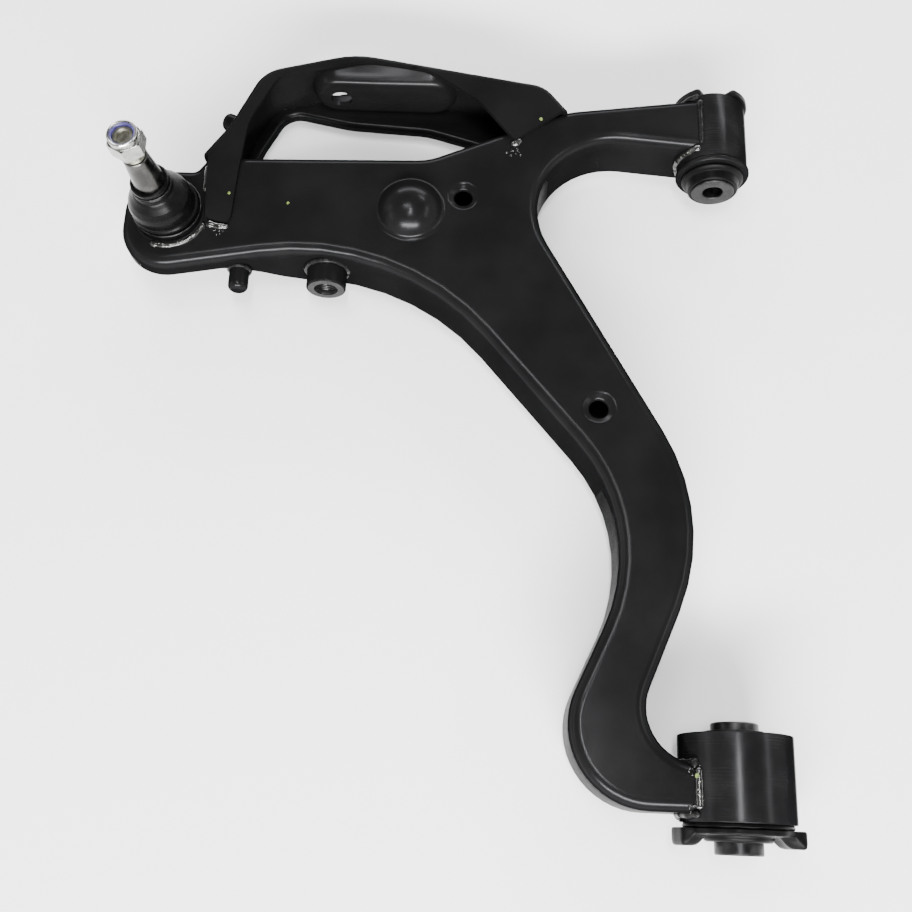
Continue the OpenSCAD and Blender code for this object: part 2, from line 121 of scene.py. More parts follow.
STRAP_INNER = [
    near(BALL, 28, 22, 20),
    near(BALL, 30, -6, 6),
    near(BALL, 50, -10, 6),
    near(BALL, 52, 37, 60),
    on_damper(-70, -70.5, 60),
    on_damper(-48, -23.5, 25),
    on_damper(24, -7, 60),
    on_damper(74, -13.5, 60),
    on_damper(118, -43.5, 60),
    on_damper(148, -80.5, 4),
]
STRAP_WINDOW = [
    on_damper(164, -103.5, 0),
    on_damper(129, -56.5, 20),
    on_damper(74, -40.5, 60),
    on_damper(6, -36.5, 80),
    on_damper(-48, -25.5, 18),
    on_damper(-70, -70.5, 60),
    near(BALL, 52, 22, 0),
]


# ---- materials ---------------------------------------------------------------------------


def material(name, dark, light, metallic=0.0, rough=(0.3, 0.4), patch=60.0, grain=900.0,
             bump=0.15, depth=0.00004, squeeze=(1, 1, 1), tilt=0.0, specular=0.5, rings=None,
             speck=None, edge=1.0):
    """A surface whose colour and roughness wander, with a fine bump.

    dark and light are the two colours; rough its lowest and highest roughness; patch and grain
    the coarse and fine noise scales per metre; squeeze stretches the fine grain; tilt turns the
    grain about Y; rings adds turned rings about the Y axis; speck scatters a third colour, given
    with its scale and the noise level where it starts; edge dims the metallic share at grazing
    angles, which was set to match how dark the arm's walls are in the photo.
    """
    m = bpy.data.materials.new(name)
    m.use_nodes = True
    nodes, links = m.node_tree.nodes, m.node_tree.links
    shader = nodes["Principled BSDF"]
    shader.inputs["Metallic"].default_value = metallic
    shader.inputs["Specular IOR Level"].default_value = specular
    shader.inputs["Specular Tint"].default_value = (edge, edge, edge, 1)

    place = nodes.new("ShaderNodeTexCoord").outputs["Object"]

    def noise_at(scale, detail, stretch=(1, 1, 1)):
        mapping = nodes.new("ShaderNodeMapping")
        mapping.inputs["Scale"].default_value = stretch
        mapping.inputs["Rotation"].default_value = (0, tilt, 0)
        links.new(place, mapping.inputs["Vector"])
        n = nodes.new("ShaderNodeTexNoise")
        n.inputs["Scale"].default_value = scale
        n.inputs["Detail"].default_value = detail
        links.new(mapping.outputs["Vector"], n.inputs["Vector"])
        return n.outputs["Fac"]

    def spread(fac, low, high, to_low, to_high):
        r = nodes.new("ShaderNodeMapRange")
        for key, value in (("From Min", low), ("From Max", high),
                           ("To Min", to_low), ("To Max", to_high)):
            r.inputs[key].default_value = value
        links.new(fac, r.inputs["Value"])
        return r.outputs["Result"]

    def mix(fac, a, b):
        x = nodes.new("ShaderNodeMix")
        x.data_type = "RGBA"
        links.new(fac, x.inputs["Factor"])
        for socket, value in ((x.inputs["A"], a), (x.inputs["B"], b)):
            if isinstance(value, tuple):
                socket.default_value = (*value, 1)
            else:
                links.new(value, socket)
        return x.outputs["Result"]

    coarse = noise_at(patch, 4)
    fine = noise_at(grain, 3, squeeze)
    colour = mix(spread(coarse, 0.35, 0.65, 0, 1), dark, light)
    if speck:
        dots = noise_at(speck[1], 2)
        colour = mix(spread(dots, speck[2], speck[2] + 0.06, 0, 1), colour, speck[0])
    links.new(colour, shader.inputs["Base Color"])

    both = nodes.new("ShaderNodeMath")
    both.operation = "ADD"
    links.new(coarse, both.inputs[0])
    links.new(fine, both.inputs[1])
    links.new(spread(both.outputs[0], 0.75, 1.25, *rough), shader.inputs["Roughness"])

    height = fine
    if rings:
        wave = nodes.new("ShaderNodeTexWave")
        wave.wave_type = "RINGS"
        wave.rings_direction = "Y"
        wave.inputs["Scale"].default_value = rings
        wave.inputs["Distortion"].default_value = 0.6
        links.new(place, wave.inputs["Vector"])
        total = nodes.new("ShaderNodeMath")
        total.operation = "ADD"
        links.new(fine, total.inputs[0])
        links.new(wave.outputs["Fac"], total.inputs[1])
        height = total.outputs[0]
    b = nodes.new("ShaderNodeBump")
    b.inputs["Strength"].default_value = bump
    b.inputs["Distance"].default_value = depth
    links.new(height, b.inputs["Height"])
    links.new(b.outputs["Normal"], shader.inputs["Normal"])
    return m


COAT = material("coat_black", (0.0105, 0.0105, 0.0110), (0.0135, 0.0135, 0.0140),
                rough=(0.20, 0.27), patch=24, grain=500, bump=0.025, depth=0.00003,
                metallic=0.6, specular=0.0, edge=0.28)
EYE_COAT = material("eye_black", (0.0120, 0.0120, 0.0127), (0.0180, 0.0180, 0.0187),
                    rough=(0.20, 0.30), patch=40, grain=60, squeeze=(0.4, 60, 0.4), bump=0.15,
                    depth=0.00005, metallic=0.6, specular=0.0, edge=0.28)
WELD = material("weld_black", (0.004, 0.004, 0.004), (0.014, 0.014, 0.013), rough=(0.10, 0.26),
                patch=260, grain=1300, bump=0.4, depth=0.00015, specular=0.7,
                speck=((0.36, 0.35, 0.31), 620, 0.67))
WELD_DARK = material("weld_dark", (0.004, 0.004, 0.004), (0.010, 0.010, 0.010),
                     rough=(0.16, 0.30), patch=260, grain=1300, bump=0.3, depth=0.00012,
                     specular=0.10, speck=((0.30, 0.29, 0.26), 620, 0.72))
RUBBER = material("bush_rubber", (0.0012, 0.0012, 0.0012), (0.0026, 0.0026, 0.0025),
                  rough=(0.34, 0.50), patch=70, grain=1600, bump=0.2, depth=0.00006,
                  specular=0.07)
BOOT = material("boot_rubber", (0.0012, 0.0012, 0.0013), (0.0022, 0.0022, 0.0024),
                rough=(0.24, 0.33), patch=90, grain=1400, bump=0.08, depth=0.00003,
                specular=0.08)
SLEEVE = material("sleeve_steel", (0.018, 0.018, 0.019), (0.04, 0.04, 0.04), metallic=1.0,
                  rough=(0.30, 0.46), patch=120, grain=70, squeeze=(0.4, 50, 0.4), bump=0.35,
                  depth=0.00008)
FACE = material("face_steel", (0.016, 0.016, 0.017), (0.036, 0.036, 0.036), metallic=1.0,
                rough=(0.36, 0.5), patch=200, grain=900, rings=900, bump=0.3, depth=0.00008)
TAPER = material("taper_steel", (0.045, 0.044, 0.042), (0.08, 0.079, 0.075), metallic=1.0,
                 rough=(0.20, 0.34), patch=90, grain=60, squeeze=(0.4, 0.4, 70), tilt=-LEAN,
                 bump=0.25, depth=0.00005)
STUD_END = material("stud_end", (0.12, 0.12, 0.095), (0.22, 0.215, 0.18), metallic=1.0,
                    rough=(0.34, 0.5), patch=260, grain=1200, bump=0.3)
ZINC = material("zinc", (0.30, 0.30, 0.29), (0.44, 0.435, 0.42), metallic=1.0,
                rough=(0.16, 0.32), patch=220, grain=1300, bump=0.2, depth=0.00005)
NYLON = material("nylon", (0.020, 0.016, 0.07), (0.045, 0.038, 0.14), rough=(0.3, 0.42),
                 patch=200, grain=900, bump=0.2)
PLASTIC = material("seat_plastic", (0.55, 0.54, 0.50), (0.66, 0.65, 0.60), rough=(0.4, 0.55),
                   patch=80, grain=700)
WIRE = material("spring_wire", (0.015, 0.015, 0.016), (0.04, 0.04, 0.04), metallic=1.0,
                rough=(0.28, 0.4), patch=200, grain=1200, bump=0.2)
PAINT = material("paint_mark", (0.05, 0.085, 0.012), (0.12, 0.17, 0.03), rough=(0.35, 0.5),
                 patch=400, grain=1500, bump=0.3, depth=0.0001)


# ---- mesh helpers ------------------------------------------------------------------------


def turn(u, v):
    return math.atan2(u.x * v.y - u.y * v.x, u.dot(v))


def angles(count):
    """Even steps round a full turn."""
    return [2 * math.pi * k / count for k in range(count)]


def ease(x):
    """Smooth step from 0 to 1."""
    t = min(max(x, 0), 1)
    return t * t * (3 - 2 * t)


def ring_about(place, r, h, count):
    """A ring of points round the place's own Z axis."""
    return [place @ Vector((r * math.cos(a), r * math.sin(a), h)) for a in angles(count)]


def rounded(corners, inset=0.0, closed=True):
    """Points of a rounded outline moved in by inset, with their number the same at any inset."""
    points = []
    n = len(corners)
    for i, (x, y, r) in enumerate(corners):
        c = Vector((x, y))
        before = Vector(corners[i - 1][:2])
        after = Vector(corners[(i + 1) % n][:2])
        if not closed and i in (0, n - 1):
            e = (after - c if i == 0 else c - before).normalized()
            points.append(c + Vector((-e.y, e.x)) * inset)
            continue
        e1, e2 = (c - before).normalized(), (after - c).normalized()
        n1, n2 = Vector((-e1.y, e1.x)), Vector((-e2.y, e2.x))
        p = c + (n1 + n2) * inset / (1 + n1.dot(n2))
        if r == 0:
            points.append(p)
            continue
        sweep = turn(e1, e2)
        radius = max(r - inset, 0.05) if sweep > 0 else max(r + inset, 0.05)
        start = p - e1 * radius * math.tan(abs(sweep) / 2)
        centre = start + (n1 if sweep > 0 else -n1) * radius
        steps = math.ceil(abs(math.degrees(sweep)) / ARC_STEP)
        arm = start - centre
        for k in range(steps + 1):
            a = sweep * k / steps
            ca, sa = math.cos(a), math.sin(a)
            points.append(centre + Vector((arm.x * ca - arm.y * sa, arm.x * sa + arm.y * ca)))
    return points


class Outline:
    """A rounded outline whose straight runs are cut up evenly."""

    def __init__(self, corners, spacing=8.0, closed=True):
        self.corners, self.closed = corners, closed
        base = rounded(corners, 0, closed)
        ends = base[1:] + base[:1] if closed else base[1:]
        self.cuts = [max(1, math.ceil((b - a).length / spacing)) for a, b in zip(base, ends)]

    def at(self, inset):
        points = rounded(self.corners, inset, self.closed)
        ends = points[1:] + points[:1] if self.closed else points[1:]
        result = []
        for a, b, count in zip(points, ends, self.cuts):
            result += [a.lerp(b, k / count) for k in range(count)]
        if not self.closed:
            result.append(points[-1])
        return result


def inside(p, polygon):
    """Whether a plan point lies inside a polygon."""
    hit = False
    a = polygon[-1]
    for b in polygon:
        if (a[1] > p[1]) != (b[1] > p[1]):
            if p[0] < (b[0] - a[0]) * (p[1] - a[1]) / (b[1] - a[1]) + a[0]:
                hit = not hit
        a = b
    return hit


def circle(x, y, r, count=64):
    return [Vector((x + r * math.cos(a), y + r * math.sin(a))) for a in angles(count)]


class Shape:
    """Collects the vertices, in millimetres, and the faces of one piece."""

    def __init__(self):
        self.verts = []
        self.faces = []

    def ring(self, points):
        start = len(self.verts)
        self.verts += [Vector(p) for p in points]
        return list(range(start, len(self.verts)))

    def bridge(self, a, b, closed=True):
        n = len(a)
        for i in range(n if closed else n - 1):
            j = (i + 1) % n
            self.faces.append((a[i], a[j], b[j], b[i]))

    def loft(self, rings, closed=True):
        """rings are lists of 3-D points, all as long as each other."""
        made = [self.ring(r) for r in rings]
        for a, b in zip(made, made[1:]):
            self.bridge(a, b, closed)
        return made

    def cap(self, ring):
        self.faces.append(tuple(ring))

    def fill(self, outer, holes, lift, spacing=None, extra=()):
        """Fills the plan between closed loops of 2-D points; lift turns a point into 3-D.

        spacing adds a grid of points inside, and extra adds points that are given.
        """
        points, edges = [], []
        for loop in [outer] + holes:
            start, n = len(points), len(loop)
            points += [Vector(p) for p in loop]
            edges += [(start + k, start + (k + 1) % n) for k in range(n)]
        points += extra
        if spacing:
            xs, ys = [p.x for p in outer], [p.y for p in outer]
            rim = list(points)
            x = min(xs) + spacing / 2
            while x < max(xs):
                y = min(ys) + spacing / 2
                while y < max(ys):
                    p = Vector((x, y))
                    if (inside(p, outer) and not any(inside(p, h) for h in holes)
                            and min((p - q).length for q in rim) > 0.45 * spacing):
                        points.append(p)
                    y += spacing
                x += spacing
        out, _, tris, _, _, _ = geometry.delaunay_2d_cdt(points, edges, [], 0, 1e-4)
        base = len(self.verts)
        self.verts += [Vector(lift(p)) for p in out]
        for t in tris:
            c = sum((out[i] for i in t), Vector((0, 0))) / len(t)
            if inside(c, outer) and not any(inside(c, h) for h in holes):
                self.faces.append(tuple(base + i for i in t))

    def mesh(self, name, up=None, drop=None):
        """Makes the mesh. The face farthest along up has to look that way; drop picks faces
        to leave out.
        """
        bm = bmesh.new()
        made = [bm.verts.new(v * MM) for v in self.verts]
        for f in self.faces:
            if len(set(f)) > 2:
                try:
                    bm.faces.new([made[i] for i in f])
                except ValueError:
                    pass
        bmesh.ops.remove_doubles(bm, verts=bm.verts, dist=MERGE * MM)
        if drop:
            gone = [f for f in bm.faces if drop([v.co / MM for v in f.verts])]
            bmesh.ops.delete(bm, geom=gone, context="FACES")
        bmesh.ops.dissolve_degenerate(bm, edges=bm.edges, dist=0.002 * MM)
        bmesh.ops.delete(bm, geom=[v for v in bm.verts if not v.link_faces], context="VERTS")
        bmesh.ops.recalc_face_normals(bm, faces=bm.faces)
        if up is not None:
            best = max(bm.faces, key=lambda f: f.calc_center_median().dot(up))
            if best.normal.dot(up) < 0:
                bmesh.ops.reverse_faces(bm, faces=bm.faces)
        mesh = bpy.data.meshes.new(name)
        bm.to_mesh(mesh)
        bm.free()
        return mesh


def thicken(mesh, thickness):
    """Gives a surface a sheet thickness, on the side that its normals look away from."""
    o = bpy.data.objects.new("thicken", mesh)
    bpy.context.scene.collection.objects.link(o)
    s = o.modifiers.new("sheet", "SOLIDIFY")
    s.thickness = thickness * MM
    s.offset = -1
    dg = bpy.context.evaluated_depsgraph_get()
    result = bpy.data.meshes.new_from_object(o.evaluated_get(dg))
    bpy.data.objects.remove(o)
    return result


def piece(name, mesh, mat, body, nodes=(), sharp=32.0):
    """Turns a mesh into a finished piece that rides on a body."""
    for p in mesh.polygons:
        p.use_smooth = True
    mesh.set_sharp_from_angle(angle=math.radians(sharp))
    mesh.materials.clear()
    mesh.materials.append(mat)
    mesh.name = name
    o = bpy.data.objects.new(name, mesh)
    bpy.context.scene.collection.objects.link(o)
    if body:
        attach(o, body)
    if nodes:
        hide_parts(*nodes)
    return o


def soften(profile, closed=False):
    """A profile of (r, h, radius) corners with each corner rounded."""
    points = []
    n = len(profile)
    for i, (x, y, r) in enumerate(profile):
        c = Vector((x, y))
        if r == 0 or (not closed and i in (0, n - 1)):
            points.append(c)
            continue
        u = Vector(profile[i - 1][:2]) - c
        v = Vector(profile[(i + 1) % n][:2]) - c
        half = u.angle(v) / 2
        back = min(r / math.tan(half), 0.49 * u.length, 0.49 * v.length)
        a, b = c + u.normalized() * back, c + v.normalized() * back
        steps = 5
        for k in range(steps + 1):
            t = k / steps
            points.append(a * (1 - t) ** 2 + c * 2 * t * (1 - t) + b * t ** 2)
    return points


ALONG_Y = Matrix(((1, 0, 0), (0, 0, 1), (0, -1, 0))).to_4x4()   # local +Z lies along +Y


def at(x, y, z):
    return Matrix.Translation((x, y, z))


AT_BALL = at(*BALL)
ON_STUD = AT_BALL @ Matrix.Rotation(-LEAN, 4, "Y")


def turned(name, profile, place, mat, body, nodes=(), closed=True, count=96, sharp=32.0):
    """A piece turned about the place's Z axis, from (r, h, radius) corners."""
    shape = Shape()
    rings = [ring_about(place, p.x, p.y, count) for p in soften(profile, closed)]
    if closed:
        rings.append(rings[0])
    shape.loft(rings)
    return piece(name, shape.mesh(name), mat, body, nodes, sharp)


# ---- the two pressings -------------------------------------------------------------------


def underside(x):
    """Height of the arm's underside, which climbs towards the ball joint."""
    end, start = BALL[0] + 44, DAMPER_X - 22
    t = min(max((start - x) / (start - end), 0), 1)
    return -SECTION_LOW + END_RISE * (ease(t) * 0.5 + t * 0.5)


def in_a_bush(corners):
    """Whether a face lies so deep in an eye that the eye hides it."""
    rear_y, rear_r = 60.0, 21.0
    front_y, front_r = 480.0, 19.0
    return any((p.y < rear_y and math.hypot(p.x, p.z) < rear_r)
               or (p.y > front_y and math.hypot(p.x, p.z) < front_r) for p in corners)


arm_line = Outline(ARM)


def level(points, z):
    return [(p.x, p.y, z) for p in points]


def make_upper():
    shape = Shape()
    rings = []
    steps = 8
    for k in range(steps + 1):
        a = math.radians(90 * k / steps)
        rings.append(level(arm_line.at(FILLET * (1 - math.sin(a))),
                           PLATE_TOP - FILLET * (1 - math.cos(a))))
    wall = arm_line.at(0)
    top, rows = PLATE_TOP - FILLET, 4
    for k in range(1, rows + 1):
        rings.append([(p.x, p.y, top + (underside(p.x) + SEAM - top) * k / rows) for p in wall])
    flat = arm_line.at(FILLET + 0.25)
    rings.insert(0, level(flat, PLATE_TOP))
    shape.loft(rings)

    holes = [circle(BALL[0], BALL[1], HOUSING_HOLE, 80)]
    sphere_r = (DOME_R ** 2 + DOME_H ** 2) / (2 * DOME_H)
    centre = PLATE_TOP + DOME_H - sphere_r
    first = math.radians(60)
    blend_r = (centre + sphere_r * math.cos(first) - PLATE_TOP) / (1 - math.cos(first))
    blend_at = (sphere_r + blend_r) * math.sin(first)
    foot = blend_at + 0.3
    holes.append(circle(*DOME, foot, 80))
    dome = [(foot, PLATE_TOP)]
    dome += [(blend_at - blend_r * math.sin(first * k / 7),
              PLATE_TOP + blend_r * (1 - math.cos(first * k / 7))) for k in range(7)]
    rows = 22
    dome += [(sphere_r * math.sin(first * (1 - k / rows)),
              centre + sphere_r * math.cos(first * (1 - k / rows))) for k in range(rows)]
    made = shape.loft([[(*p, h) for p in circle(*DOME, r, 80)] for r, h in dome])
    shape.cap(made[-1])
    dimple = [(14.2, 0), (13.7, 0), (12.8, -0.12), (11.9, -0.45), (11.0, -0.95), (10.1, -1.5),
              (9.3, -1.95), (8.5, -2.4), (7.8, -2.95), (7.35, -3.6), (DRAIN_R, -4.3),
              (DRAIN_R, -5.4)]
    for d in DRAINS:
        holes.append(circle(*d, dimple[0][0], 64))
        shape.loft([[(*p, PLATE_TOP + h) for p in circle(*d, r, 64)] for r, h in dimple])
    shape.fill(flat, holes, lambda p: (p.x, p.y, PLATE_TOP), spacing=22)
    mesh = shape.mesh("upper", up=Vector((0, 0, 1)), drop=in_a_bush)
    piece("upper_pressing", thicken(mesh, SHEET), COAT, "arm",
          ["upper_shell"], sharp=40)


def make_lower():
    shape = Shape()
    bend = 6.0
    inner = SHEET + 0.1
    rings = []
    for rise in (SEAM + 6, SEAM, bend):
        rings.append([(p.x, p.y, underside(p.x) + rise) for p in arm_line.at(inner)])
    steps = 6
    for k in range(1, steps + 1):
        a = math.radians(90 * k / steps)
        loop = arm_line.at(inner + bend * (1 - math.cos(a)))
        rings.append([(p.x, p.y, underside(p.x) + bend * (1 - math.sin(a))) for p in loop])
    floor = arm_line.at(inner + bend + 0.4)
    rings.append([(p.x, p.y, underside(p.x)) for p in floor])
    shape.loft(rings)
    holes = [circle(BALL[0], BALL[1], HOUSING_HOLE, 80)]
    shape.fill(floor, holes, lambda p: (p.x, p.y, underside(p.x)), spacing=9)

    def drop(corners):
        return in_a_bush(corners) or any(p.x < BALL[0] - 19.5 for p in corners)

    mesh = shape.mesh("lower", up=Vector((0, 0, -1)), drop=drop)
    piece("lower_pressing", thicken(mesh, SHEET), COAT, "arm",
          ["lower_shell"], sharp=40)


make_upper()
make_lower()


# ---- the damper's strap ------------------------------------------------------------------


def make_strap():
    shape = Shape()
    bend, low_bend = 4.0, 4.0
    lip_from = 5.0                        # the lip starts this far short of the window's line
    shelf = SHEET - SECTION_LOW           # underside of the lower flange
    wall_top, wall_low = STRAP_TOP_Z - bend, shelf + low_bend
    outline = Outline(STRAP_OUTER + STRAP_ROOT)
    count = sum(outline.cuts[:-3]) + 1

    def outer(inset):
        return outline.at(inset)[:count]

    # upper bend
    rings = []
    steps = 7
    for k in range(steps + 1):
        a = math.radians(90 * k / steps)
        rings.append(level(outer(bend * (1 - math.sin(a))), wall_top + bend * math.cos(a)))
    shape.loft(rings, closed=False)

    # upper flange, with its tongue and foot
    edge = outer(bend)
    whole = rounded(STRAP_OUTER + STRAP_INNER)
    inner = whole[len(rounded([STRAP_INNER[-1]] + STRAP_OUTER + STRAP_INNER[:1],
                              closed=False)) - 2:]
    shape.fill(edge + inner, [], lambda p: (p.x, p.y, STRAP_TOP_Z), spacing=16)

    # outer wall, with the mouth of the pressed pad cut in it; s runs along the wall
    path = outer(0)
    length = [0.0]
    for a, b in zip(path, path[1:]):
        length.append(length[-1] + (b - a).length)

    def on_wall(s):
        k = max(i for i in range(len(length) - 1) if length[i] <= s + 1e-9)
        t = (s - length[k]) / (length[k + 1] - length[k])
        return path[k].lerp(path[k + 1], t)

    def s_of_x(x):
        for k in range(len(path) - 1):
            if path[k].x >= x >= path[k + 1].x:
                t = (path[k].x - x) / (path[k].x - path[k + 1].x)
                return length[k] + t * (length[k + 1] - length[k])
        return length[-1]

    pad_x, pad_z = DAMPER_X + 37.0, -0.5

    def stadium(grow, n=20):
        """Points of the pad's outline in (x, z), grown by an amount."""
        half_h = 15.5 + grow
        half_l = 53.5 + grow
        flat = half_l - half_h
        arcs = []
        for side in (1, -1):
            for k in range(n + 1):
                a = math.pi * (k / n - 0.5)
                arcs.append((pad_x + side * (flat + half_h * math.cos(a)),
                             pad_z + half_h * math.sin(a) * side))
            end = pad_x + side * flat
            arcs += [(end - side * 2 * flat * k / 10, pad_z + side * half_h)
                     for k in range(1, 10)]
        return arcs

    mouth = [(s_of_x(x), z) for x, z in stadium(6.5)]
    corners = ([Vector((s, wall_top)) for s in length]
               + [Vector((s, wall_low)) for s in reversed(length)])
    hole = [Vector(p) for p in mouth]
    points_in = []
    levels = 8
    for s in length[1:-1]:
        for k in range(1, levels):
            p = Vector((s, wall_top + (wall_low - wall_top) * k / levels))
            if not inside(p, hole) and min((p - q).length for q in hole) > 1.6:
                points_in.append(p)

    def wall_point(p):
        q = on_wall(min(max(p[0], 0), length[-1]))
        return (q.x, q.y, p[1])

    shape.fill(corners, [hole], wall_point, extra=points_in)

    # the pad itself: a sloping side, a rounded edge and a flat floor with the bolt's hole
    floor_y = PAD_Y + SHEET
    rim = [Vector(wall_point(p)) for p in mouth]
    rings = [rim]
    for sink, grow in ((0.10, 5.9), (0.30, 5.0), (0.6, 3.4), (0.85, 2.2), (0.95, 1.2),
                       (0.99, 0.4), (1.0, -0.6)):
        loop = stadium(grow)
        rings.append([Vector((x, r.y + (floor_y - r.y) * sink, z))
                      for (x, z), r in zip(loop, rim)])
    shape.loft(rings)
    face = [Vector(p) for p in stadium(-0.6)]
    bolt = circle(DAMPER_X, DAMPER_Z, 9.0, 48)
    shape.fill(face, [bolt], lambda p: (p.x, floor_y, p.y), spacing=9)

    # lower bend, lower flange and its turned lip
    rings = []
    for k in range(steps + 1):
        a = math.radians(90 * k / steps)
        rings.append(level(outer(bend * (1 - math.cos(a))), wall_low - low_bend * math.sin(a)))
    shape.loft(rings, closed=False)
    window = Outline(STRAP_WINDOW, closed=False)
    lip_line = window.at(-lip_from)
    shape.fill(outer(bend) + lip_line[::-1], [], lambda p: (p.x, p.y, shelf), spacing=12)
    rings = [level(lip_line, shelf)]
    for k in range(1, 4):
        a = math.radians(30 * k)
        rings.append(level(window.at(math.sin(a) - lip_from), shelf - 1 + math.cos(a)))
    rings.append(level(window.at(1.0 - lip_from), 0.6 - SECTION_LOW))
    shape.loft(rings, closed=False)

    arm_plan = arm_line.at(1.0)

    def drop(c):
        mean = sum(c, Vector()) / len(c)
        return mean.z < PLATE_TOP - 5.5 and inside(mean.xy, arm_plan)

    mesh = shape.mesh("strap", up=Vector((0, 0, 1)), drop=drop)
    piece("damper_strap", thicken(mesh, SHEET - 0.02), COAT, "arm",
          ["damper_bracket"], sharp=38)


make_strap()


# ---- tube and stub pins ------------------------------------------------------------------

ON_TUBE = at(DAMPER_X, 0, DAMPER_Z) @ ALONG_Y
tube_low, tube_high = NEAR_WALL_Y - 19.0, FAR_WALL + 1.5
turned("damper_tube",
       [(9.0, tube_low + 2.2, 0.5), (10.6, tube_low, 0.5), (15.3, tube_low, 0.7),
        (16.0, tube_low + 1.2, 0.6), (16.0, tube_high, 0), (9.0, tube_high, 0)],
       ON_TUBE, COAT, "arm",
       ["damper_bolt_tube"], count=72)
turned("damper_tube_face",
       [(9.6, tube_low + 0.1, 0), (9.6, tube_low - 0.04, 0), (14.7, tube_low - 0.04, 0),
        (14.7, tube_low + 0.1, 0)],
       ON_TUBE, FACE, "arm", count=72)


THREAD_COUNT = 48


def thread(r, depth, pitch, low, high, place, inward=False, fade=1.6):
    """A helical ridge on a shaft, or in a bore, with its ends run out."""
    shape = Shape()
    per_turn = 8
    rows = int((high - low) / pitch * per_turn)
    rings = []
    for j in range(rows + 1):
        z = low + (high - low) * j / rows
        ring = []
        for k, a in enumerate(angles(THREAD_COUNT)):
            phase = (z / pitch - k / THREAD_COUNT) % 1.0
            tooth = min(abs(phase - 0.5) * 2.6, 1.0)
            runout = min((z - low) / fade, (high - z) / fade, 1.0)
            cut = depth * tooth * max(runout, 0)
            rr = r + cut if inward else r - cut
            ring.append(place @ Vector((rr * math.cos(a), rr * math.sin(a), z)))
        rings.append(ring)
    made = shape.loft(rings)
    return shape, made


tube_thread, _ = thread(8.75, 0.75, 1.5, tube_low + 2.4, tube_low + 22, ON_TUBE, inward=True)
tube_mesh = tube_thread.mesh("tube_thread")
piece("damper_tube_thread", thicken(tube_mesh, 0.2), SLEEVE, "arm", sharp=25)


def round_bar(r, length, root=0.0):
    """Profile of a bar with a domed tip."""
    tip = 0.6 * r
    points = [(0.01, -root, 0), (r, -root, 0)]
    arc = [(r - tip + tip * math.cos(a), length - tip + tip * math.sin(a), 0)
           for a in (math.radians(9 * k) for k in range(11))]
    return points + arc + [(0.01, length, 0)]


NEAR_PIN = (BALL[0] + 56, BALL[1] - 31.5, 3.0)
turned("near_pin", round_bar(8.0, 24.5, 4.0), at(*NEAR_PIN) @ Matrix.Rotation(math.pi, 4, "Z")
       @ ALONG_Y, COAT, "arm", ["near_stub_pin"], closed=False, count=48)
leg_low, leg_high = Vector(STRAP_OUTER[4][:2]), Vector(STRAP_OUTER[3][:2])
far_pin = leg_low.lerp(leg_high, 0.3)
leg = (leg_high - leg_low).normalized()
pin_out = Vector((-leg.y, leg.x, 0)).normalized()
pin_place = at(far_pin.x, far_pin.y, 0) @ Vector((0, 0, 1)).rotation_difference(
    pin_out).to_matrix().to_4x4()
turned("far_pin", round_bar(7.5, 20.0, 1.0), pin_place, COAT, "arm",
       ["far_stub_pin"], closed=False, count=48)


# ---- rear bush ---------------------------------------------------------------------------

REAR_R, REAR_HALF = 40.0, 29.35
turned("rear_eye_tube",
       [(35.6, -REAR_HALF, 0.6), (REAR_R, -REAR_HALF, 0.8), (REAR_R, REAR_HALF, 0.8),
        (35.6, REAR_HALF, 0.6)],
       ALONG_Y, EYE_COAT, "arm", ["rear_eye"], count=128)
lip = -REAR_HALF - 3.6
turned("rear_rubber",
       [(16.8, lip, 0), (37.0, lip, 0.9), (38.0, lip + 1.2, 0.7), (37.2, -REAR_HALF + 0.02, 0.5),
        (33.2, -REAR_HALF + 0.02, 0.2), (33.2, REAR_HALF - 3, 1.5), (24.0, REAR_HALF - 3.5, 2.5),
        (20.7, REAR_HALF + 3, 1.2), (16.8, REAR_HALF + 3, 0.5)],
       ALONG_Y, RUBBER, "arm", ["rear_bush_rubber"], count=128)


def make_rear_stop():
    """Scalloped plate with a thick collar and a thick wing at either side."""
    back = lip - 0.02
    plate_r, plate_t, scallop = 38.6, 4.0, 0.35
    wing_r, wing_t = 45.2, 11.6
    wing_from, wing_blend = 0.86, 0.07     # cosine where a wing starts, and its rise
    collar_r = 25.5
    count = 160
    profile = []
    for a in angles(count):
        x, z = math.cos(a), math.sin(a)
        r, thick = plate_r + scallop * math.cos(14 * a), plate_t
        if abs(x) > wing_from:
            t = ease((abs(x) - wing_from) / wing_blend)
            r += t * (wing_r - plate_r)
            thick += t * (wing_t - plate_t)
        profile.append((x, z, r, thick))

    def depth(share, deep, thick):
        """Distance from the back to a point on the face, the rounded rim or the side."""
        if share < 0.95:
            return plate_t + (thick - plate_t) * deep
        if share < 1.0:
            return thick * (0.25 + 0.75 * deep)
        return thick * deep

    collar = [(17.1, 0.0), (17.1, 7.6), (18.0, 8.4), (20.0, 8.5), (22.2, 8.3), (23.5, 7.4),
              (23.9, 6.0), (24.2, 4.6), (24.9, 4.05)]
    outward = [(0.08, 0.05), (0.16, 0.28), (0.30, 0.70), (0.44, 0.93), (0.60, 1.0),
               (0.90, 1.0), (0.97, 0.9), (1.0, 0.7), (1.0, 0.12)]
    rings = [[(x * r0, back - deep, z * r0) for x, z, r, thick in profile]
             for r0, deep in collar]
    for share, deep in outward:
        ring = []
        for x, z, r, thick in profile:
            rr = collar_r + (r - collar_r) * share
            ring.append((x * rr, back - depth(share, deep, thick), z * rr))
        rings.append(ring)
    rings.append([(x * (r - 0.6), back, z * (r - 0.6)) for x, z, r, thick in profile])
    rings.append(rings[0])
    shape = Shape()
    shape.loft(rings)
    piece("rear_stop", shape.mesh("rear_stop"), RUBBER, "arm",
          ["rear_bush_stop"], sharp=50)


